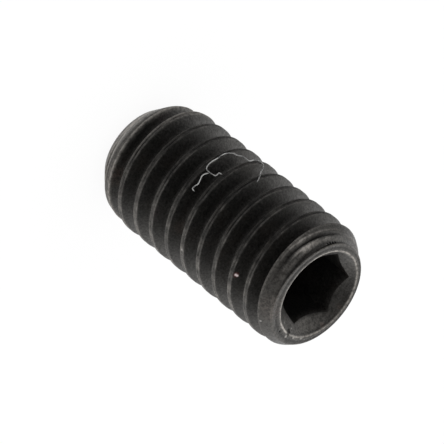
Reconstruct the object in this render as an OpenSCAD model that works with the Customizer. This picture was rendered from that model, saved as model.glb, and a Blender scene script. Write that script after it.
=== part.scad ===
// Socket set screw with a 4 mm thread, cut to 8 mm nominal length.
// It stands on its point end: +Z runs along the axis, z = 0 is the flat of the point and the socket opens upwards.

/* [Screw] */
// Length from the point's flat to the socket end's face
length = 7.9; // [6:0.1:20]

/* [Thread] */
// Nominal diameter of the thread
thread_d = 4; // [3.8:0.05:5]
// How far the crests stay short of the nominal diameter, on each side
crest_trim = 0.025; // [0:0.005:0.06]
// Advance of the right-hand thread in one turn
pitch = 0.7; // [0.5:0.05:0.75]
// Height above the point's flat where the first crest passes the front (-Y)
crest_z = 0.587; // [0:0.001:0.7]

/* [Socket end] */
// Width of the outer chamfer, from the crests in to the flat face
face_chamfer = 0.3; // [0.1:0.005:0.4]
// Angle between that chamfer and the axis
face_angle = 33; // [30:1:60]
// Width of the flat ring between that chamfer and the countersink
rim_w = 0.255; // [0.1:0.005:0.4]
// Angle between the countersink's wall and the axis
sink_angle = 47; // [45:1:70]

/* [Hexagon socket] */
// Width across the flats of the socket
socket_af = 2.05; // [1.5:0.01:2.2]
// Depth of the flats below the face
socket_depth = 2.5; // [1.5:0.1:4]
// Angle of the first corner, from +X
socket_turn = 17; // [0:1:60]
// How far inside the flats the wall of the hole lies that they are broached into
pilot_inset = 0.075; // [0.02:0.005:0.2]
// How far that hole's full diameter goes on below the flats
pilot_over = 0.4; // [0.1:0.1:1]
// Angle between the drill point and the axis
drill_angle = 59; // [45:1:70]

/* [Point end] */
// Width of the chamfer, from the crests in to the flat that bears on the clamped shaft
point_chamfer = 0.635; // [0.3:0.005:0.9]
// Angle between that chamfer and the axis
point_angle = 40; // [30:1:50]

/* [Hidden] */
$fn = 96;

major_r = thread_d / 2 - crest_trim;
face_r = major_r - face_chamfer;
sink_r = face_r - rim_w;
point_r = major_r - point_chamfer;
pilot_r = socket_af / 2 - pilot_inset;

// The 60 degree thread: its ridge is an eighth of the pitch wide at the nominal diameter
flank_angle = 30;
ridge_w = pitch / 8;
thread_depth = 17 / 24 * sqrt(3) / 2 * pitch;
root_r = thread_d / 2 - thread_depth;
root_w = pitch - ridge_w - 2 * thread_depth * tan(flank_angle);

// The ridge is made a little tall, and the blank then turns it down to the crests
ridge_over = pitch / 16;
ridge_r = thread_d / 2 + ridge_over;
ridge_top_w = ridge_w - 2 * ridge_over * tan(flank_angle);

// The ridge starts below the point and ends above the face, a whole turn clear of both
steps = 48;
start_z = crest_z - 3 * pitch;
last = ceil((length - start_z) / pitch + 1) * steps;

// How far past a face a cut reaches
cut_over = 0.2;

// The four edges of one ridge: [radius, height above the crest's middle]
profile = [
    [ridge_r, -ridge_top_w / 2],
    [ridge_r, ridge_top_w / 2],
    [root_r, (pitch - root_w) / 2],
    [root_r, (pitch + root_w) / 2],
];
edges = len(profile);

function step_point(i, edge) =
    let (angle = 360 * i / steps - 90, r = profile[edge][0])
    [r * cos(angle), r * sin(angle), start_z + pitch * i / steps + profile[edge][1]];

// Corner number of an edge at a step; the edge after the last one is the first edge a turn later
function corner(i, edge) = edge < edges ? i * edges + edge : (i + steps) * edges;

// Endless thread: a solid bounded by the helical strips, with a ramp to the axis at either end
module thread() {
    bottom = (last + 1) * edges;
    top = bottom + 1;
    points = concat(
        [for (i = [0:last], edge = [0:edges - 1]) step_point(i, edge)],
        [[0, 0, start_z + pitch / 2], [0, 0, start_z + pitch * last / steps]]
    );
    strips = [
        for (edge = [0:edges - 1], i = [0:last - 1 - (edge == edges - 1 ? steps : 0)])
        each [
            [corner(i, edge), corner(i, edge + 1), corner(i + 1, edge + 1)],
            [corner(i, edge), corner(i + 1, edge + 1), corner(i + 1, edge)],
        ]
    ];
    start_ramp = [for (i = [0:steps - 1]) [corner(i, 0), corner(i + 1, 0), bottom]];
    start_wall = [for (edge = [0:edges - 1]) [corner(0, edge + 1), corner(0, edge), bottom]];
    end_ramp = [for (i = [last - steps:last - 1]) [corner(i + 1, edges - 1), corner(i, edges - 1), top]];
    end_wall = concat(
        [[corner(last - steps, edges - 1), corner(last, 0), top]],
        [for (edge = [0:edges - 2]) [corner(last, edge), corner(last, edge + 1), top]]
    );
    polyhedron(points, concat(strips, start_ramp, start_wall, end_ramp, end_wall));
}

// The turned blank: a bar with both ends chamfered
module blank() {
    rotate_extrude()
        polygon([
            [0, 0],
            [point_r, 0],
            [major_r, point_chamfer / tan(point_angle)],
            [major_r, length - face_chamfer / tan(face_angle)],
            [face_r, length],
            [0, length],
        ]);
}

// What is cut out of the socket end: countersink, broached hexagon and the drilled hole under it
module socket_cut() {
    sink_depth = sink_r / tan(sink_angle);
    pilot_depth = socket_depth + pilot_over;
    translate([0, 0, length - sink_depth])
        cylinder(h = sink_depth + cut_over, r1 = 0, r2 = sink_r + cut_over * tan(sink_angle));
    rotate([0, 0, socket_turn])
        translate([0, 0, length - socket_depth])
        cylinder(h = socket_depth + cut_over, d = socket_af / cos(30), $fn = 6);
    rotate_extrude()
        polygon([
            [0, length - pilot_depth - pilot_r / tan(drill_angle)],
            [pilot_r, length - pilot_depth],
            [pilot_r, length - socket_depth / 2],
            [0, length - socket_depth / 2],
        ]);
}

module set_screw() {
    color([0.21, 0.205, 0.2])
    difference() {
        intersection() {
            thread();
            blank();
        }
        socket_cut();
    }
}

set_screw();
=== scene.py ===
"""The looks of the grub set screw: rolled thread, worn black oxide, the lint and specks on it."""
import math

import bpy
import numpy as np
from mathutils import Matrix, Vector, noise
from mathutils.bvhtree import BVHTree

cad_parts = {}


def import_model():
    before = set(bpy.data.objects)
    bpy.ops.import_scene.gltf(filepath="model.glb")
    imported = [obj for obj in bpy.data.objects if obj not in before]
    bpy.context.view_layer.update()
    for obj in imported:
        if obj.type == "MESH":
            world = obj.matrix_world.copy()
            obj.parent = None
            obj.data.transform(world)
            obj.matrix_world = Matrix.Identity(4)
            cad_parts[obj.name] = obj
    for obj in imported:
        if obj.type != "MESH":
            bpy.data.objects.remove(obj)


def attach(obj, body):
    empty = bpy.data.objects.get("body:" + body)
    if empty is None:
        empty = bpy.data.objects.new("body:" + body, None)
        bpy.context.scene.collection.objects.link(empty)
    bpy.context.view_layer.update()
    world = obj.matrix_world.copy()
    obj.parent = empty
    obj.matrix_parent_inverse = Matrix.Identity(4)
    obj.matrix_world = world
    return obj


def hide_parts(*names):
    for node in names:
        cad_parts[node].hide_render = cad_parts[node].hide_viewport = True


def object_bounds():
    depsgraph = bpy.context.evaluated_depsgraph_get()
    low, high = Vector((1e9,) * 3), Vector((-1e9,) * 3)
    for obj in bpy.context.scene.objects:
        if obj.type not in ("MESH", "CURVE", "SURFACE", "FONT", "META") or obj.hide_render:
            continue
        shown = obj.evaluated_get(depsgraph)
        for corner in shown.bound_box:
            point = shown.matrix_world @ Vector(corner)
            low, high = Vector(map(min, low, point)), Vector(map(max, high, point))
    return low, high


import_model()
cad_low, cad_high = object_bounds()

# Units: metres outside, millimetres and degrees for every named size below
MM = 0.001

# The screw, as in the part's source. Its first crest passes the front (-Y) at CREST_Z
CREST_R = (cad_high.x - cad_low.x) / 2 / MM
LENGTH = (cad_high.z - cad_low.z) / MM
THREAD_R = 2.0
PITCH = 0.7
CREST_Z = 0.587
FRONT = -90
FLANK_SLOPE = math.tan(math.radians(30))
CREST_W = PITCH / 8 + 2 * (THREAD_R - CREST_R) * FLANK_SLOPE
ROOT_R = THREAD_R - 17 / 24 * math.sqrt(3) / 2 * PITCH

# The face and the countersink were turned a little off the thread's axis, and the hexagon was
# broached off it
FACE_R = 1.68
FACE_SHIFT = (0.08, -0.01)
FACE_ANGLE = 32
RIM_R = 1.425
RIM_SHIFT = (0.03, 0.105)
SINK_ANGLE = 47
SOCKET_AF = 2.1
SOCKET_SHIFT = (-0.04, 0.11)
SOCKET_TURN = 15.5
SOCKET_DEPTH = 2.5
PILOT_R = 0.95
PILOT_OVER = 0.4
DRILL_ANGLE = 59

# The sink's wall leans away from the axis by its angle, so the rim turns by the rest
RIM_TURN = 90 - SINK_ANGLE

# The point's chamfer ends under a first thread that rolling left low
POINT_CHAMFER = 0.6
POINT_R = CREST_R - POINT_CHAMFER
POINT_ANGLE = 40
LOW_CREST_R = 1.83
LOW_CREST_Z = 0.56
LOW_CREST_ANGLE = 14
LOW_CREST_ROUND = 0.04

# Roundings that a rolled and tumbled screw has. The cuts are where its ends meet the thread
CREST_ROUND = 0.03
ROOT_ROUND = 0.12
CUT_ROUND = 0.03
POINT_CUT_ROUND = 0.01
POINT_FILLET = 0.04
FACE_FILLET = 0.04
RIM_FILLET = 0.18
MOUTH_FILLET = 0.02

# Rolling folds the metal up from both sides, so each crest keeps a seam, deeper in patches
CREST_EXTRA = 0.035
SEAM_DEPTH = 0.022
SEAM_LEAST = 0.3
SEAM_W = 0.024
SEAM_SWAY = 0.02
SEAM_SWAY_WAVES = 1.3
SEAM_SWAY_SEED = 2

# The last crest is the widest. Its seam runs on across the face's chamfer, with a lip and a
# rubbed ridge on either side. Angles are along the crest, from the front
LAST_CREST = 10
LAST_EXTRA = 0.075
LAST_EXTRA_REACH = 110
LAST_SEAM_ANGLE = -36
LAST_SEAM_REACH = 38
LAST_SEAM_BEND = -15
LAST_SEAM_DRIFT = 0.0025
LAST_SEAM_DEPTH = 0.05
LAST_SEAM_X = 0.03
LAST_LIP_X = 0.06
LAST_LIP_W = 0.03
LAST_LIP_SHARE = 0.3
LAST_RIDGE_X = 0.1
LAST_RIDGE_W = 0.028

# Patches on the crests: waves to a millimetre, seed, gain, what is taken off, least and most.
# Each seed has its noise from this far along the last one's
SEAM_PATCHES = (2.2, 1, 2.5, 0.75, 0, 1)
WORN_PATCHES = (3.5, 3, 2.4, 0.55, 0.1, 1.3)
SEED_STEP = 50.0

# Wear goes from 0, where the oxide is whole, to 1, where the steel is bare. Along the edges,
# and most on the rim's rounded lip, the lighter steel is partly a painted highlight
POINT_FACE_WEAR = 0.1
POINT_CORNER_WEAR = 0.6
POINT_CHAMFER_WEAR = 0.3
LOW_CREST_WEAR = 0.2
FACE_EDGE_WEAR = 0.25
FACE_CORNER_WEAR = 0.15
RING_WEAR = 0.05
RIM_WEAR_AND_HIGHLIGHT = (0.08, 0.12, 0.35, 0.85, 0.75, 0.25, 0.08, 0.03)
LAST_RIDGE_WEAR = 0.4
SINK_WEAR = 0.02
SINK_RUB_WEAR = 0.12
SINK_RUB_ANGLE = 45
SINK_RUB_REACH = 38
MOUTH_WEAR = 0.03

# Towards +X, the side lowest in view, the crests are lighter over their flats and their seams
# less dark: partly wear, partly painted light. The gain is how soon that comes on around the
# screw, and a pair is what a value is anywhere and what that side adds
SIDE_GAIN = 1.3
WORN_AND_PAINTED_LIGHT = (0.38, 0.85)
CREST_WEAR_AND_PAINTED_LIGHT = (0.14, 0.14)
CREST_EDGE_WEAR_AND_PAINTED_LIGHT = (0.26, -0.16)
SEAM_GRIME_AND_SHADE = (1, -0.8)

# Where the wear and grime lie, with their painted highlights and painted shade, and over which
# width they fade
CREST_FADE = 0.02
CREST_EDGE_IN = 0.006
CREST_EDGE_W = 0.017
CUT_FADE = 0.04
FACE_EDGE_OUT = 0.004
FACE_EDGE_W = 0.03
POINT_EDGE_OUT = 0.045
POINT_EDGE_W = 0.065
POINT_CHAMFER_OVER = 0.05
POINT_CHAMFER_FADE = 0.06
LOW_CREST_FADE = 0.04
RING_REACH = 0.5
RING_FADE = 0.05
SEAM_GRIME_AND_SHADE_W = 0.022
LAST_SEAM_GRIME_AND_SHADE_W = 0.03
LAST_SEAM_COVER = 0.7

# The skin's mesh. On the thread its rows lie this far from a crest's middle, closest where it bends
SECTOR_COLUMNS = 36
COLUMNS = 6 * SECTOR_COLUMNS
HALF_ROWS = (
    0, 0.016, 0.032, 0.048, 0.062, 0.072, 0.08, 0.088,
    0.1, 0.12, 0.134, 0.148, 0.17, 0.22, 0.27, 0.31,
)
FILLET_ROWS = 5
MOUTH_ROWS = 4

# Its other rows, as shares of the way; those of the ring have how far they dip, and their grime.
# One more row close under the hexagon keeps its lower edge sharp
POINT_SHARES = (0.9, 0.75, 0.5, 0.25, 0.1)
RING_ROWS = ((0.35, 0.004, 0.1), (0.6, 0.01, 0.35), (0.8, 0.002, 0.0))
SINK_SHARES = (0.15, 0.3, 0.45, 0.6, 0.8)
SOCKET_SHARES = (0.1, 0.3, 0.6, 0.97, 1.0)
DRILL_SHARES = (0, 0.05, 0.5, 0.9)
PILOT_EDGE = 0.03

# The camera: where the photograph was taken from, as seen from the front (-Y)
VIEW_TILT = 34.821
VIEW_ROLL = 38.751
VIEW_DISTANCE = 395.0
VIEW_CENTRE_Z = 4.11
VIEW_SHIFT = (0.3112, 0.0558)
VIEW_CLIP = (10, 3000)
PIXELS_PER_MM = 34.904
IMAGE = 444
SENSOR = 36.0

# The black oxide: its colours, its shine, and how grime and dents change it; the grime
# in seams and dents is partly painted shade
OXIDE_BLACK = (0.0016, 0.0016, 0.0016)
OXIDE_BROWN = (0.0063, 0.0047, 0.0036)
OXIDE_GREY = (0.0069, 0.0066, 0.0059)
OXIDE_SHEEN = (1.0, 0.965, 0.91)
OXIDE_IOR = 1.65
OXIDE_SHINE = 0.5
GRIME_AND_SHADE_DULL = 0.38
GRIME_AND_SHADE_COVER = 0.9
BUMP_DEPTH = 0.018
BUMP_STRENGTH = 0.6
DENT_DEPTH = 6.0

# The steel under it, where it is rubbed; the same steel colour also paints the highlights on the
# edges and the rim. A scratch scatters, so the barest spots are less metallic
BARE_STEEL_AND_HIGHLIGHT = (0.41, 0.385, 0.355)
BARE_AND_HIGHLIGHT_SHARE = 0.9
BARE_METALLIC = 0.95
BARE_SCATTER = 0.45
RUBBED_AND_HIGHLIGHT_GAIN = 1.8

# Noise in the materials: cells to a millimetre, detail and roughness
PATCHES_NOISE = (0.9, 4, 0.6)
GRAIN_NOISE = (13, 4, 0.7)
RUB_NOISE = (8, 4, 0.7)
MOTTLE_NOISE = (16, 5, 0.75)
LINT_NOISE = (5, 2, 0.5)

# Which stretch of that noise counts, and what it becomes if that isn't 0 to 1
BROWN_RANGE = (0.45, 0.72)
GREY_RANGE = (0.5, 0.66)
TINT_RANGE = (0.35, 0.6)
RUB_RANGE = (0.36, 0.62, 0.45, 1.35)
MOTTLE_RANGE = (0.36, 0.64, 0.65, 1.25)
ROUGHNESS_RANGE = (0.35, 0.65, 0.3, 0.52)
LINT_RANGE = (0.35, 0.65)
LINT_ALPHA_RANGE = (0.3, 0.6, 0.7, 1.0)

# Marks that the photograph shows on the screw: the pixel, the reach and, if it has one, the
# colour. A mark is whole over this share of its reach
MARK_CORE = 0.25
BROWN = (0.018, 0.010, 0.0066)
PURPLE = (0.0084, 0.0042, 0.006)
RUST = (0.027, 0.0144, 0.0102)
WARM = (0.024, 0.0162, 0.0132)
TINTS = (
    ((116.9, 176.1), 0.5, BROWN),
    ((165.7, 116.5), 0.4, PURPLE),
    ((152.8, 214.4), 0.35, PURPLE),
    ((180.4, 228.0), 0.3, BROWN),
    ((272.0, 310.0), 0.6, WARM),
    ((338.9, 306.0), 0.12, RUST),
    ((322.2, 324.7), 0.12, RUST),
)
RED = (0.07, 0.014, 0.013)
PINK = (0.62, 0.53, 0.53)
LIGHT_GREY = (0.45, 0.43, 0.41)
MIDDLE_GREY = (0.3, 0.294, 0.282)
SAND = (0.26, 0.248, 0.229)
DARK_SAND = (0.25, 0.238, 0.219)
DULL_SAND = (0.19, 0.184, 0.171)
SPECKS = (
    ((236.2, 275.0), 0.12, RED),
    ((235.7, 274.8), 0.055, PINK),
    ((237.2, 275.7), 0.055, PINK),
    ((182.0, 249.7), 0.055, LIGHT_GREY),
    ((260.5, 321.0), 0.05, MIDDLE_GREY),
    ((284.5, 322.5), 0.06, DULL_SAND),
    ((281.5, 327.0), 0.05, DULL_SAND),
    ((286.0, 336.5), 0.07, DARK_SAND),
    ((293.5, 337.5), 0.07, SAND),
    ((301.0, 338.0), 0.07, SAND),
    ((291.5, 328.5), 0.04, DULL_SAND),
)
# Lighter spots: two painted highlights on the last crest's lip, and a rubbed patch on the face
RUBBED_AND_HIGHLIGHTS = (
    ((310.0, 244.5), 0.42),
    ((297.5, 246.0), 0.36),
    ((284.0, 322.0), 0.4),
)
# Dents and a short groove, darkened with painted shade as well as bumped in
DENTS_AND_SHADE = (
    ((288.5, 329.8), 0.085),
    ((288.3, 331.9), 0.105),
    ((287.8, 334.0), 0.1),
    ((279.5, 331.0), 0.05),
    ((283.0, 318.0), 0.045),
    ((328.0, 244.7), 0.055),
    ((330.3, 243.9), 0.06),
    ((332.6, 243.2), 0.06),
    ((335.0, 242.6), 0.055),
)

# The lint, by the pixels along its two fibres
LINT_R = 0.018
LINT_SIDES = 6
LINT_TIP = 0.35
LINT_TAPER = 0.3
LINT_DARK = (0.2, 0.2, 0.2)
LINT_PALE = (0.46, 0.46, 0.45)
LINT_ROUGHNESS = 0.8
LINT_LONG = (
    (222, 174.5), (219, 173), (216, 175.5), (212, 174), (208, 171), (206.5, 168.5),
    (208, 165), (212, 161.5), (218, 158), (222, 155), (227, 153.3), (233, 153.3),
    (238, 155.5), (243, 156.5), (247, 159.5), (250, 161), (254, 160), (258, 160.5),
    (262, 163), (263.5, 166.5), (262, 170), (260.5, 173), (259.5, 177), (257, 182),
)
LINT_SHORT = (
    (194.5, 191.5), (192.5, 188.5), (194, 186.5), (198, 184),
    (200, 180), (202, 176), (205, 174), (209, 173),
)

# The room. Brightness is 1 where it is white
DOME_LEVEL = 1.2
LIT_SIDE = (0.342, 0.94, 0)
WALL_LEVEL = 0.8
WALL_SWING = 0.72
WALL_TOP = (0.45, 0.85)
CEILING_LEVEL = 0.04
FLOOR_HALF = 600.0
FLOOR_Z = -0.002
FLOOR_COLOUR = 0.07
FLOOR_GLOW = 0.93
FLOOR_LIT_SIDE = (0.75, 0.66, 0)
FLOOR_FADE = 8.0
FLOOR_DIM = 0.01
FLOOR_NEAR = 3.2


def smooth_min(a, b, reach):
    """The lower of two heights, rounded over where they cross."""
    share = np.clip(0.5 + 0.5 * (b - a) / reach, 0, 1)
    return b + (a - b) * share - reach * share * (1 - share)


def smooth_max(a, b, reach):
    """The higher of two heights, rounded over where they cross."""
    return -smooth_min(-a, -b, reach)


def bell(value, width):
    """1 at zero, and next to nothing at twice the width."""
    return np.exp(-(value / width) ** 2)


def fade(value, width):
    """0 up to zero, rising to 1 over the width."""
    return np.clip(value / width, 0, 1)


def by_side(pair, side):
    """A value that changes towards +X, the side that is partly painted lighter."""
    return pair[0] + pair[1] * side


def half_turn(angles):
    """The same angles between -180 and 180."""
    return (angles + 180) % 360 - 180


def wave(angles, z, scale, seed):
    """Smooth noise from 0 to 1 over the cylinder, with this many waves to a millimetre."""
    turn = np.radians(angles)
    x, y = CREST_R * np.cos(turn), CREST_R * np.sin(turn)
    where = np.stack([x, y, z + SEED_STEP * seed], axis=-1) * scale
    return np.array([0.5 + 0.5 * noise.noise(Vector(p)) for p in where])


def patchy(angles, z, scale, seed, gain, off, least, most):
    """That noise as patches, cut off at their least and most."""
    return np.clip(gain * wave(angles, z, scale, seed) - off, least, most)


def thread_radius(x, extra=0.0):
    """Radius of the endless thread at a distance x from the middle of its crest."""
    x = np.maximum(np.abs(x) - extra, 0)
    flank = CREST_R - (x - (CREST_W + CREST_EXTRA) / 2) / FLANK_SLOPE
    radius = smooth_min(np.full_like(flank, CREST_R), flank, CREST_ROUND)
    return smooth_max(np.full_like(radius, ROOT_R), radius, ROOT_ROUND)


def offset_circle(radius, shift, angles):
    """Distance from the axis to a circle whose centre is off the axis."""
    turn = np.radians(angles)
    along = shift[0] * np.cos(turn) + shift[1] * np.sin(turn)
    across = shift[1] * np.cos(turn) - shift[0] * np.sin(turn)
    return along + np.sqrt(radius**2 - across**2)


def hexagon_radius(angles):
    """Distance from the axis to the hexagon's walls."""
    # Walls that face away from a column don't bound it
    least = 0.1
    walls = []
    for normal in np.radians(SOCKET_TURN + 30 + 60 * np.arange(6)):
        facing = np.cos(np.radians(angles) - normal)
        reach = SOCKET_AF / 2
        reach += SOCKET_SHIFT[0] * math.cos(normal)
        reach += SOCKET_SHIFT[1] * math.sin(normal)
        walls.append(np.where(facing > least, reach / np.maximum(facing, least), np.inf))
    return np.min(walls, axis=0)


def column_angles():
    """Angles of the columns, spread evenly between the hexagon's corners."""
    turn = np.radians(SOCKET_TURN + 60 * np.arange(6))
    reach = SOCKET_AF / 2 / math.cos(math.radians(30))
    x = reach * np.cos(turn) + SOCKET_SHIFT[0]
    y = reach * np.sin(turn) + SOCKET_SHIFT[1]
    corners = np.degrees(np.arctan2(y, x)) % 360
    corners = np.append(corners, corners[0] + 360)
    share = np.arange(SECTOR_COLUMNS) / SECTOR_COLUMNS
    return np.concatenate([a + (b - a) * share for a, b in zip(corners, corners[1:])])


def blank_radius(z, angles):
    """Radius that the ends leave of the thread: their chamfers and the low first crest."""
    point = POINT_R + z * math.tan(math.radians(POINT_ANGLE))
    low_crest = LOW_CREST_R + (z - LOW_CREST_Z) * math.tan(math.radians(LOW_CREST_ANGLE))
    face = offset_circle(FACE_R, FACE_SHIFT, angles)
    face = face + (LENGTH - z) * math.tan(math.radians(FACE_ANGLE))
    return np.minimum(smooth_min(point, low_crest, LOW_CREST_ROUND), face)


def sink_z(radius, angles):
    """Height of the countersink's cone at a distance from the axis."""
    turn = np.radians(angles)
    x = radius * np.cos(turn) - RIM_SHIFT[0]
    y = radius * np.sin(turn) - RIM_SHIFT[1]
    return LENGTH - (RIM_R - np.hypot(x, y)) * math.tan(math.radians(RIM_TURN))


class Skin:
    """A surface of revolution with its own radius and height in each column."""

    def __init__(self, angles):
        self.angles = angles
        self.points = []
        self.wear_and_highlight = []
        self.grime_and_shade = []
        self.faces = []

    def add(self, radius, z, wear_and_highlight=0.0, grime_and_shade=0.0):
        """Adds one vertex per column and returns the ring of their numbers."""
        row = (radius, z, wear_and_highlight, grime_and_shade)
        radius, z, wear_and_highlight, grime_and_shade = (np.broadcast_to(value, self.angles.shape) for value in row)
        first = len(self.points)
        turn = np.radians(self.angles)
        self.points += list(zip(radius * np.cos(turn), radius * np.sin(turn), z))
        self.wear_and_highlight += list(wear_and_highlight)
        self.grime_and_shade += list(grime_and_shade)
        return np.arange(first, first + len(self.angles))

    def radii(self, ring):
        """How far the ring lies from the axis in each column."""
        return np.hypot(*np.array([self.points[i][:2] for i in ring]).T)

    def face(self, *corners):
        """Adds a face, less the corners that it has twice."""
        kept = list(dict.fromkeys(int(c) for c in corners))
        if len(kept) > 2:
            self.faces.append(kept)

    def join(self, lower, upper):
        """A band between two rings, the second further along the skin."""
        for a, b, c, d in zip(lower, np.roll(lower, -1), np.roll(upper, -1), upper):
            self.face(a, b, c, d)

    def onwards(self, ring, *row):
        """Adds a ring further along the skin and joins it to this one."""
        new = self.add(*row)
        self.join(ring, new)
        return new

    def close(self, ring, z, upwards):
        """Closes a small ring with a fan to a point on the axis."""
        centre = len(self.points)
        self.points.append((0, 0, z))
        self.wear_and_highlight.append(0)
        self.grime_and_shade.append(0)
        for a, b in zip(ring, np.roll(ring, -1)):
            self.face(*((a, b, centre) if upwards else (b, a, centre)))


def fillet(radius, centre_r, centre_z, start, end, rows=FILLET_ROWS):
    """Points of an arc in the half plane, by the direction of its normal."""
    for angle in np.radians(np.linspace(start, end, rows)):
        yield centre_r + radius * math.cos(angle), centre_z + radius * math.sin(angle)


def thread_band(skin, z_low, z_high):
    """The threaded stretch. Returns its lowest and highest ring."""
    half = np.array(HALF_ROWS)
    offsets = np.concatenate([-half[:0:-1], half, [PITCH / 2]])
    per_turn = len(offsets)
    turns = np.arange(-2, math.ceil(LENGTH / PITCH))
    offset = np.tile(offsets, len(turns))
    turn = np.repeat(turns, per_turn)
    lead = PITCH * (skin.angles - FRONT) / 360
    z = (CREST_Z + PITCH * turn + offset)[:, None] + lead[None, :]
    lowest = skin.add(*thread_skin(z_low, skin.angles))
    highest = skin.add(*thread_skin(z_high, skin.angles))
    number = np.empty(z.shape, int)
    for i in range(len(z)):
        ring = skin.add(*thread_skin(z[i], skin.angles, offset[i], turn[i]))
        number[i] = np.where(z[i] <= z_low, lowest, np.where(z[i] >= z_high, highest, ring))
    for here, above in zip(number, number[1:]):
        for j in range(COLUMNS - 1):
            skin.face(here[j], here[j + 1], above[j + 1], above[j])
    # The last column meets the first one a turn later
    last = COLUMNS - 1
    for i in range(len(z) - 1 - per_turn):
        later = i + per_turn
        skin.face(number[i, last], number[later, 0], number[later + 1, 0], number[i + 1, last])
    return lowest, highest


def thread_skin(z, angles, x=None, turn=None):
    """Radius, height, wear and grime of the threaded skin at a height in each column; the wear
    holds painted highlight and the grime painted shade.
    """
    z = np.broadcast_to(np.asarray(z, float), angles.shape)
    if x is None:
        turns = (z - CREST_Z) / PITCH - (angles - FRONT) / 360
        turn = np.round(turns)
        x = (turns - turn) * PITCH
    x = np.broadcast_to(np.asarray(x, float), angles.shape)
    # Angle along the last crest, from the front
    turns_up = turn + np.floor((angles - FRONT + 180) / 360) - LAST_CREST
    along = half_turn(angles - FRONT) + 360 * turns_up

    extra = np.where(x < 0, LAST_EXTRA, 0) * bell(along, LAST_EXTRA_REACH)
    patches = patchy(angles, z, *SEAM_PATCHES)
    seam_x = x + SEAM_SWAY * (wave(angles, z, SEAM_SWAY_WAVES, SEAM_SWAY_SEED) - 0.5)
    seam = SEAM_DEPTH * (SEAM_LEAST + patches) * bell(seam_x, SEAM_W)
    thread = thread_radius(x, extra) - seam
    blank = blank_radius(z, angles)
    cut_round = np.where(z > LENGTH / 2, CUT_ROUND, POINT_CUT_ROUND)
    is_thread = np.clip(0.5 + (blank - thread) / CUT_FADE, 0, 1)

    last_x = x - LAST_SEAM_X - LAST_SEAM_DRIFT * np.maximum(LAST_SEAM_BEND - along, 0)
    last_seam = bell(along - LAST_SEAM_ANGLE, LAST_SEAM_REACH)
    last_seam = last_seam * (np.abs(last_x) < 3 * LAST_RIDGE_X)
    lips = LAST_LIP_SHARE * bell(np.abs(last_x) - LAST_LIP_X, LAST_LIP_W)
    last_groove = LAST_SEAM_DEPTH * last_seam * (bell(last_x, SEAM_W) - lips)
    radius = smooth_min(thread, blank, cut_round) - last_groove

    # How far a column is towards +X, where the crests get painted light
    side = np.clip(SIDE_GAIN * np.cos(np.radians(angles)), 0, 1)
    crest = crest_wear_and_painted_light(angles, z, np.abs(x) - extra, is_thread, side)
    ridges = LAST_RIDGE_WEAR * last_seam * bell(np.abs(last_x) - LAST_RIDGE_X, LAST_RIDGE_W)
    wear_and_highlight = np.maximum.reduce([crest, end_wear(z, thread - blank, is_thread), ridges])
    in_last = bell(last_x, LAST_SEAM_GRIME_AND_SHADE_W)
    # The seams are darkened, less towards +X: partly grime, partly painted shade
    grime_and_shade = is_thread * bell(seam_x, SEAM_GRIME_AND_SHADE_W) * patches * by_side(SEAM_GRIME_AND_SHADE, side)
    grime_and_shade = np.maximum(grime_and_shade, last_seam * in_last)
    return radius, z, wear_and_highlight * (1 - LAST_SEAM_COVER * last_seam * in_last), grime_and_shade


def crest_wear_and_painted_light(angles, z, x, is_thread, side):
    """Wear of a crest, with painted light towards +X: in patches over its width, and most along its
    edges.
    """
    worn = patchy(angles, z, *WORN_PATCHES) * by_side(WORN_AND_PAINTED_LIGHT, side)
    band = fade(CREST_W + CREST_EXTRA - 2 * x, CREST_FADE)
    edge = bell(x - (CREST_W + CREST_EXTRA) / 2 + CREST_EDGE_IN, CREST_EDGE_W)
    share = by_side(CREST_WEAR_AND_PAINTED_LIGHT, side) * band + by_side(CREST_EDGE_WEAR_AND_PAINTED_LIGHT, side) * edge
    return is_thread * worn * share


def end_wear(z, cut, is_thread):
    """Wear of the ends, by how deep they cut the thread: their edges, chamfers and low crest. On
    the edges it is partly a painted highlight.
    """
    is_face = z > LENGTH / 2
    face_edge = FACE_EDGE_WEAR * bell(cut - FACE_EDGE_OUT, FACE_EDGE_W)
    point_edge = bell(cut - POINT_EDGE_OUT, POINT_EDGE_W)
    below = fade(LOW_CREST_Z + POINT_CHAMFER_OVER - z, POINT_CHAMFER_FADE)
    above = fade(z - LOW_CREST_Z, LOW_CREST_FADE) * (1 - is_face)
    ring = fade(z - LENGTH + RING_REACH, RING_FADE)
    return np.maximum.reduce([
        np.where(is_face, face_edge, point_edge),
        (1 - is_thread) * below * POINT_CHAMFER_WEAR,
        (1 - is_thread) * above * LOW_CREST_WEAR,
        (1 - is_thread) * ring * RING_WEAR,
    ])


def point_end(skin, ring):
    """From the thread's lowest ring round the corner and over the flat of the point."""
    centre_r = POINT_R - POINT_FILLET * math.tan(math.radians((90 - POINT_ANGLE) / 2))
    corner = list(fillet(POINT_FILLET, centre_r, POINT_FILLET, -POINT_ANGLE, -90))
    rows = [(radius, z, POINT_CORNER_WEAR) for radius, z in corner[1:]]
    rows += [(centre_r * share, 0, POINT_FACE_WEAR) for share in POINT_SHARES]
    for row in rows:
        new = skin.add(*row)
        skin.join(new, ring)
        ring = new
    skin.close(ring, 0, upwards=False)


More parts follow.
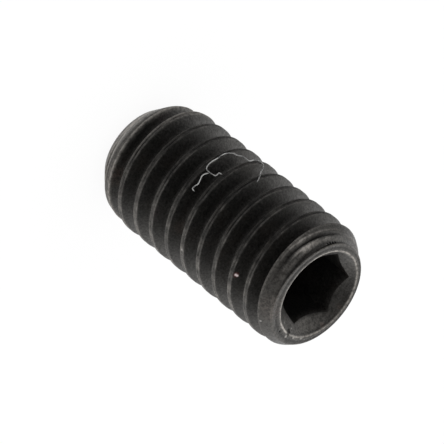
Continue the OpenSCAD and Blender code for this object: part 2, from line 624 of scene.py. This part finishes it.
def face_end(skin, ring):
    """From the thread's highest ring over the face and round the rim. Returns the last ring."""
    angles = skin.angles
    outer = skin.radii(ring)
    centre_r = FACE_R - FACE_FILLET * math.tan(math.radians((90 - FACE_ANGLE) / 2))
    corner = list(fillet(FACE_FILLET, centre_r, LENGTH - FACE_FILLET, FACE_ANGLE, 90))
    # Where the thread or the last seam bites into the corner, so do the rows after it
    notch = np.minimum(outer - offset_circle(corner[0][0], FACE_SHIFT, angles), 0)
    for radius, z in corner[1:]:
        face = offset_circle(radius, FACE_SHIFT, angles) + notch
        ring = skin.onwards(ring, face, z, FACE_CORNER_WEAR)

    rim_r = RIM_R + RIM_FILLET * math.tan(math.radians(RIM_TURN / 2))
    face = offset_circle(centre_r, FACE_SHIFT, angles) + notch
    for share, dip, grime_and_shade in RING_ROWS:
        radius = face + (offset_circle(rim_r, RIM_SHIFT, angles) - face) * share
        ring = skin.onwards(ring, radius, LENGTH - dip, RING_WEAR * (1 - grime_and_shade), grime_and_shade)
    rim = fillet(RIM_FILLET, rim_r, LENGTH - RIM_FILLET, 90, 90 + RIM_TURN, len(RIM_WEAR_AND_HIGHLIGHT))
    # The rim's rounded lip is lightest in its middle: partly wear, partly a painted highlight
    for (radius, z), wear_and_highlight in zip(rim, RIM_WEAR_AND_HIGHLIGHT):
        ring = skin.onwards(ring, offset_circle(radius, RIM_SHIFT, angles), z, wear_and_highlight)
    return ring


def sink_end(skin, ring):
    """Down the countersink to the hexagon. Returns the last ring and its height."""
    angles = skin.angles
    start = skin.radii(ring)
    hexagon = hexagon_radius(angles)
    cut = MOUTH_FILLET * math.tan(math.radians(SINK_ANGLE / 2))
    end = hexagon + cut * math.cos(math.radians(RIM_TURN))
    rub = bell(half_turn(angles - SINK_RUB_ANGLE), SINK_RUB_REACH)
    for share in SINK_SHARES:
        radius = start + (end - start) * share
        ring = skin.onwards(ring, radius, sink_z(radius, angles), SINK_WEAR + SINK_RUB_WEAR * rub)
    centre_r = hexagon + MOUTH_FILLET
    centre_z = sink_z(hexagon, angles) - cut
    for radius, z in fillet(MOUTH_FILLET, 0, 0, 90 + RIM_TURN, 180, MOUTH_ROWS):
        ring = skin.onwards(ring, centre_r + radius, centre_z + z, MOUTH_WEAR)
    return ring, centre_z


def socket_end(skin, ring, mouth_z):
    """Down the hexagon and the hole that it was broached into, to the drill's point."""
    floor_z = LENGTH - SOCKET_DEPTH
    for share in SOCKET_SHARES:
        z = mouth_z + (floor_z - mouth_z) * share
        ring = skin.onwards(ring, hexagon_radius(skin.angles), z)
    for z in (floor_z, floor_z - PILOT_EDGE):
        ring = skin.onwards(ring, PILOT_R, z)
    drill_z = floor_z - PILOT_OVER
    tip_z = drill_z - PILOT_R / math.tan(math.radians(DRILL_ANGLE))
    for share in DRILL_SHARES:
        ring = skin.onwards(ring, PILOT_R * (1 - share), drill_z + (tip_z - drill_z) * share)
    skin.close(ring, tip_z, upwards=True)


def screw_skin():
    """The whole screw as one closed skin."""
    skin = Skin(column_angles())
    z_low = POINT_FILLET * (1 - math.sin(math.radians(POINT_ANGLE)))
    z_high = LENGTH - FACE_FILLET * (1 - math.sin(math.radians(FACE_ANGLE)))
    lowest, highest = thread_band(skin, z_low, z_high)
    point_end(skin, lowest)
    socket_end(skin, *sink_end(skin, face_end(skin, highest)))
    used = np.unique(np.concatenate([np.array(f) for f in skin.faces]))
    renumber = np.full(len(skin.points), -1)
    renumber[used] = np.arange(len(used))
    skin.faces = [[int(renumber[i]) for i in f] for f in skin.faces]
    skin.points = [Vector(skin.points[i]) for i in used]
    skin.wear_and_highlight = np.array(skin.wear_and_highlight)[used]
    skin.grime_and_shade = np.array(skin.grime_and_shade)[used]
    return skin


def mesh_object(name, points, faces, material):
    """A smooth mesh from points in millimetres."""
    mesh = bpy.data.meshes.new(name)
    mesh.from_pydata([Vector(p) * MM for p in points], [], faces)
    mesh.validate()
    mesh.shade_smooth()
    mesh.materials.append(material)
    obj = bpy.data.objects.new(name, mesh)
    bpy.context.scene.collection.objects.link(obj)
    return obj


def attribute(obj, name, values):
    """Gives a mesh a number at each point, for its material to read."""
    layer = obj.data.attributes.new(name, "FLOAT", "POINT")
    layer.data.foreach_set("value", np.asarray(values, dtype=np.float32))


def view_axes():
    """The picture's right, down and into directions, in the row frame."""
    tilt, roll = math.radians(VIEW_TILT), math.radians(VIEW_ROLL)
    sin_roll, cos_roll = math.sin(roll), math.cos(roll)
    right = Vector((-sin_roll, math.sin(tilt) * cos_roll, math.cos(tilt) * cos_roll))
    down = Vector((cos_roll, math.sin(tilt) * sin_roll, math.cos(tilt) * sin_roll))
    into = Vector((0, math.cos(tilt), -math.sin(tilt)))
    return right, down, into


def camera_place():
    """Where the camera stands, in millimetres."""
    right, down, into = view_axes()
    centre = Vector((0, 0, VIEW_CENTRE_Z)) - right * VIEW_SHIFT[0] - down * VIEW_SHIFT[1]
    return centre - into * VIEW_DISTANCE


def camera():
    """The camera that sees the screw as the photograph shows it."""
    right, down, into = view_axes()
    data = bpy.data.cameras.new("camera")
    data.sensor_width = SENSOR
    data.lens = PIXELS_PER_MM * VIEW_DISTANCE * SENSOR / IMAGE
    data.clip_start, data.clip_end = (distance * MM for distance in VIEW_CLIP)
    obj = bpy.data.objects.new("camera", data)
    matrix = Matrix((right, -down, -into)).transposed().to_4x4()
    matrix.translation = camera_place() * MM
    obj.matrix_world = matrix
    bpy.context.scene.collection.objects.link(obj)
    bpy.context.scene.camera = obj


def sight(pixel):
    """The line of sight through a pixel of the photograph: where it starts and its direction."""
    right, down, into = view_axes()
    across = (pixel[0] - IMAGE / 2) / PIXELS_PER_MM
    below = (pixel[1] - IMAGE / 2) / PIXELS_PER_MM
    return camera_place(), (into * VIEW_DISTANCE + right * across + down * below).normalized()


def seen_at(tree, pixel):
    """The point of the screw's skin that a pixel shows."""
    return tree.ray_cast(*sight(pixel))[0]


def resting_point(pixel, radius):
    """Where a line of sight meets the cylinder that a fibre lies on."""
    start, towards = sight(pixel)
    a = towards.x**2 + towards.y**2
    b = start.x * towards.x + start.y * towards.y
    c = start.x**2 + start.y**2 - radius**2
    place = start + towards * ((-b - math.sqrt(max(b * b - a * c, 0))) / a)
    return np.array([*place.xy.normalized() * radius, place.z])


def smooth_path(points, steps=4):
    """A curve through all the points."""
    ends = [2 * points[0] - points[1], *points, 2 * points[-1] - points[-2]]
    path = []
    for p, q, r, s in zip(ends, ends[1:], ends[2:], ends[3:]):
        square = 2 * p - 5 * q + 4 * r - s
        cube = 3 * q - p - 3 * r + s
        for t in np.arange(steps) / steps:
            path.append(0.5 * (2 * q + (r - p) * t + square * t**2 + cube * t**3))
    return path + [points[-1]]


def fibre(name, pixels, material):
    """A fibre of lint that lies across the crests."""
    lying = CREST_R + LINT_R
    path = smooth_path([resting_point(p, lying) for p in pixels])
    end = len(path) - 1
    sides = np.arange(LINT_SIDES)
    points, faces = [], []
    for i, middle in enumerate(path):
        outwards = Vector((middle[0], middle[1], 0)).normalized()
        middle = Vector(middle) + outwards * (lying - Vector(middle[:2]).length)
        ahead = Vector(path[min(i + 1, end)]) - Vector(path[max(i - 1, 0)])
        across = ahead.cross(outwards).normalized()
        radius = LINT_R * min(1.0, LINT_TIP + LINT_TAPER * min(i, end - i))
        for turn in np.radians(sides * 360 / LINT_SIDES):
            points.append(middle + (across * math.cos(turn) + outwards * math.sin(turn)) * radius)
    for ring in range(0, end * LINT_SIDES, LINT_SIDES):
        for a, b in zip(ring + sides, ring + np.roll(sides, -1)):
            faces.append([int(v) for v in (a, b, b + LINT_SIDES, a + LINT_SIDES)])
    faces += [[int(v) for v in sides[::-1]], [int(v) for v in end * LINT_SIDES + sides]]
    return mesh_object(name, points, faces, material)


def opaque(colour):
    """A colour as the sockets take it."""
    return (*colour, 1)


class Nodes:
    """Short calls for building the node tree of a material or world."""

    def __init__(self, block):
        block.use_nodes = True
        block.node_tree.nodes.clear()
        self.tree = block.node_tree

    def new(self, kind, **values):
        node = self.tree.nodes.new(kind)
        for key, value in values.items():
            setattr(node, key, value)
        return node

    def put(self, socket, value):
        """Sets a socket, or links another socket to it."""
        if isinstance(value, bpy.types.NodeSocket):
            self.tree.links.new(value, socket)
        else:
            socket.default_value = value

    def output(self, kind, surface):
        self.put(self.new(kind).inputs["Surface"], surface.outputs[0])

    def attribute(self, name):
        return self.new("ShaderNodeAttribute", attribute_name=name).outputs["Fac"]

    def math(self, operation, a, b=0.0, c=0.0, clamp=False):
        node = self.new("ShaderNodeMath", operation=operation, use_clamp=clamp)
        for socket, value in zip(node.inputs, (a, b, c)):
            self.put(socket, value)
        return node.outputs[0]

    def dot(self, vector, direction):
        node = self.new("ShaderNodeVectorMath", operation="DOT_PRODUCT")
        self.put(node.inputs[0], vector)
        self.put(node.inputs[1], direction)
        return node.outputs["Value"]

    def blend(self, share, a, b):
        """A number between two others."""
        node = self.new("ShaderNodeMix", data_type="FLOAT")
        self.put(node.inputs["Factor"], share)
        self.put(node.inputs[2], a)
        self.put(node.inputs[3], b)
        return node.outputs[0]

    def mix(self, share, a, b):
        """A colour between two others."""
        node = self.new("ShaderNodeMix", data_type="RGBA")
        self.put(node.inputs["Factor"], share)
        self.put(node.inputs[6], a)
        self.put(node.inputs[7], b)
        return node.outputs[2]

    def near(self, place, point, reach):
        """1 at a point of the skin, falling to 0 this many millimetres from it."""
        node = self.new("ShaderNodeVectorMath", operation="DISTANCE")
        self.put(node.inputs[0], place)
        self.put(node.inputs[1], point * MM)
        return self.ramp(node.outputs["Value"], MARK_CORE * reach * MM, reach * MM, 1.0, 0.0)

    def noise(self, place, cells, detail, roughness):
        """Noise with this many cells to a millimetre."""
        node = self.new("ShaderNodeTexNoise")
        self.put(node.inputs["Vector"], place)
        self.put(node.inputs["Scale"], cells / MM)
        self.put(node.inputs["Detail"], detail)
        self.put(node.inputs["Roughness"], roughness)
        return node.outputs[0]

    def ramp(self, value, low, high, to_low=0.0, to_high=1.0):
        """A value spread smoothly from one range to another."""
        node = self.new("ShaderNodeMapRange", interpolation_type="SMOOTHSTEP")
        self.put(node.inputs["Value"], value)
        names = ("From Min", "From Max", "To Min", "To Max")
        for name, end in zip(names, (low, high, to_low, to_high)):
            self.put(node.inputs[name], end)
        return node.outputs[0]


def new_material(name):
    """A material with one shader, as (material, nodes, shader)."""
    material = bpy.data.materials.new(name)
    nodes = Nodes(material)
    shader = nodes.new("ShaderNodeBsdfPrincipled")
    nodes.output("ShaderNodeOutputMaterial", shader)
    return material, nodes, shader


def black_oxide(tree):
    """Black-oxided steel: nearly black, brown in patches, lighter along its edges from wear and
    painted highlights, and darker in seams and dents from grime and painted shade.
    """
    material, nodes, shader = new_material("black_oxide")
    place = nodes.new("ShaderNodeTexCoord").outputs["Object"]
    patches = nodes.noise(place, *PATCHES_NOISE)
    grain = nodes.noise(place, *GRAIN_NOISE)
    rub = nodes.noise(place, *RUB_NOISE)
    mottle = nodes.noise(place, *MOTTLE_NOISE)

    def mark(pixel, reach):
        return nodes.near(place, seen_at(tree, pixel), reach)

    colour = nodes.mix(nodes.ramp(patches, *BROWN_RANGE), opaque(OXIDE_BLACK), opaque(OXIDE_BROWN))
    colour = nodes.mix(nodes.ramp(grain, *GREY_RANGE), colour, opaque(OXIDE_GREY))
    for pixel, reach, tint in TINTS:
        share = nodes.math("MULTIPLY", mark(pixel, reach), nodes.ramp(rub, *TINT_RANGE))
        colour = nodes.mix(share, colour, opaque(tint))

    # The dents are darkened with painted shade, through the grime's dulling and cover
    dents_and_shade = 0.0
    for pixel, reach in DENTS_AND_SHADE:
        dents_and_shade = nodes.math("MAXIMUM", dents_and_shade, mark(pixel, reach))
    grime_and_shade = nodes.math("MAXIMUM", nodes.attribute("grime_and_shade"), dents_and_shade)
    wear_and_highlight = nodes.attribute("wear_and_highlight")
    # Painted highlights, and a rubbed patch, raise the wear where they lie
    for pixel, reach in RUBBED_AND_HIGHLIGHTS:
        more = nodes.math("MULTIPLY_ADD", mark(pixel, reach), RUBBED_AND_HIGHLIGHT_GAIN, 1.0)
        wear_and_highlight = nodes.math("MULTIPLY", wear_and_highlight, more)
    bare_and_highlight = nodes.math("MULTIPLY", wear_and_highlight, nodes.ramp(rub, *RUB_RANGE), clamp=True)
    uncovered = nodes.math("MULTIPLY_ADD", grime_and_shade, -GRIME_AND_SHADE_COVER, 1.0)
    bare_and_highlight = nodes.math("MULTIPLY", bare_and_highlight, uncovered, clamp=True)
    colour = nodes.mix(nodes.math("MULTIPLY", bare_and_highlight, BARE_AND_HIGHLIGHT_SHARE), colour, opaque(BARE_STEEL_AND_HIGHLIGHT))
    for pixel, reach, tint in SPECKS:
        colour = nodes.mix(mark(pixel, reach), colour, opaque(tint))
    nodes.put(shader.inputs["Base Color"], colour)

    scattered = nodes.math("MULTIPLY", bare_and_highlight, bare_and_highlight)
    metallic = nodes.math("MULTIPLY_ADD", scattered, -BARE_SCATTER, BARE_METALLIC)
    nodes.put(shader.inputs["Metallic"], nodes.math("MULTIPLY", bare_and_highlight, metallic, clamp=True))
    clean = nodes.math("MULTIPLY_ADD", grime_and_shade, -GRIME_AND_SHADE_DULL, OXIDE_SHINE)
    shine = nodes.math("MULTIPLY", clean, nodes.ramp(mottle, *MOTTLE_RANGE))
    nodes.put(shader.inputs["Specular IOR Level"], shine)
    nodes.put(shader.inputs["Specular Tint"], opaque(OXIDE_SHEEN))
    nodes.put(shader.inputs["Roughness"], nodes.ramp(grain, *ROUGHNESS_RANGE))
    nodes.put(shader.inputs["IOR"], OXIDE_IOR)

    bump = nodes.new("ShaderNodeBump")
    nodes.put(bump.inputs["Strength"], BUMP_STRENGTH)
    nodes.put(bump.inputs["Distance"], BUMP_DEPTH * MM)
    nodes.put(bump.inputs["Height"], nodes.math("MULTIPLY_ADD", dents_and_shade, -DENT_DEPTH, grain))
    nodes.put(shader.inputs["Normal"], bump.outputs[0])
    return material


def lint():
    """Pale, dull fibre with a little light through it."""
    material, nodes, shader = new_material("lint")
    place = nodes.new("ShaderNodeTexCoord").outputs["Object"]
    thick = nodes.noise(place, *LINT_NOISE)
    colour = nodes.mix(nodes.ramp(thick, *LINT_RANGE), opaque(LINT_DARK), opaque(LINT_PALE))
    nodes.put(shader.inputs["Base Color"], colour)
    nodes.put(shader.inputs["Roughness"], LINT_ROUGHNESS)
    nodes.put(shader.inputs["Alpha"], nodes.ramp(thick, *LINT_ALPHA_RANGE))
    return material


def floor():
    """A white table. What the camera sees of it is lifted to white; its shadow stays."""
    material = bpy.data.materials.new("white_table")
    nodes = Nodes(material)
    paper = nodes.new("ShaderNodeBsdfDiffuse")
    nodes.put(paper.inputs["Color"], (FLOOR_COLOUR, FLOOR_COLOUR, FLOOR_COLOUR, 1))
    path = nodes.new("ShaderNodeLightPath").outputs
    place = nodes.new("ShaderNodeNewGeometry").outputs["Position"]
    reach = FLOOR_FADE * MM
    lit = nodes.ramp(nodes.dot(place, FLOOR_LIT_SIDE), -reach, reach, FLOOR_DIM, 1 - FLOOR_COLOUR)
    lit = nodes.math("MAXIMUM", lit, nodes.near(place, Vector(), FLOOR_NEAR))
    mirrors = nodes.math("ADD", path["Is Glossy Ray"], path["Is Transmission Ray"])
    seen = nodes.math("MULTIPLY", path["Is Camera Ray"], FLOOR_GLOW)
    glow = nodes.new("ShaderNodeEmission")
    strength = nodes.math("ADD", seen, nodes.math("MULTIPLY", mirrors, lit))
    nodes.put(glow.inputs["Strength"], strength)
    both = nodes.new("ShaderNodeAddShader")
    nodes.put(both.inputs[0], paper.outputs[0])
    nodes.put(both.inputs[1], glow.outputs[0])
    nodes.output("ShaderNodeOutputMaterial", both)
    corners = [
        (FLOOR_HALF * x, FLOOR_HALF * y, FLOOR_Z) for x, y in ((-1, -1), (1, -1), (1, 1), (-1, 1))
    ]
    mesh_object("floor", corners, [(0, 1, 2, 3)], material)


def world():
    """A plain white dome for light. Reflections find it bright at the back and dark overhead."""
    scene_world = bpy.data.worlds.new("studio")
    bpy.context.scene.world = scene_world
    nodes = Nodes(scene_world)
    direction = nodes.new("ShaderNodeTexCoord").outputs["Generated"]
    split = nodes.new("ShaderNodeSeparateXYZ")
    nodes.put(split.inputs[0], direction)
    around = nodes.math("MULTIPLY_ADD", nodes.dot(direction, LIT_SIDE), WALL_SWING, WALL_LEVEL)
    walls = nodes.math("MULTIPLY", around, nodes.ramp(split.outputs["Z"], *WALL_TOP, 1.0, 0.0))
    mirrored = nodes.math("ADD", walls, CEILING_LEVEL)
    path = nodes.new("ShaderNodeLightPath").outputs
    level = nodes.blend(path["Is Glossy Ray"], DOME_LEVEL, mirrored)
    level = nodes.math("MAXIMUM", level, path["Is Camera Ray"])
    background = nodes.new("ShaderNodeBackground")
    nodes.put(background.inputs["Color"], (1, 1, 1, 1))
    nodes.put(background.inputs["Strength"], level)
    nodes.output("ShaderNodeOutputWorld", background)


camera()
world()
floor()

skin = screw_skin()
tree = BVHTree.FromPolygons(skin.points, skin.faces)
body = mesh_object("screw", skin.points, skin.faces, black_oxide(tree))
attribute(body, "wear_and_highlight", skin.wear_and_highlight)
attribute(body, "grime_and_shade", skin.grime_and_shade)
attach(body, "root")
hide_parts("set_screw")

dust = lint()
for name, pixels in (("lint_long", LINT_LONG), ("lint_short", LINT_SHORT)):
    piece = fibre(name, pixels, dust)
    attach(piece, "root")

bpy.context.scene.view_settings.view_transform = "Standard"
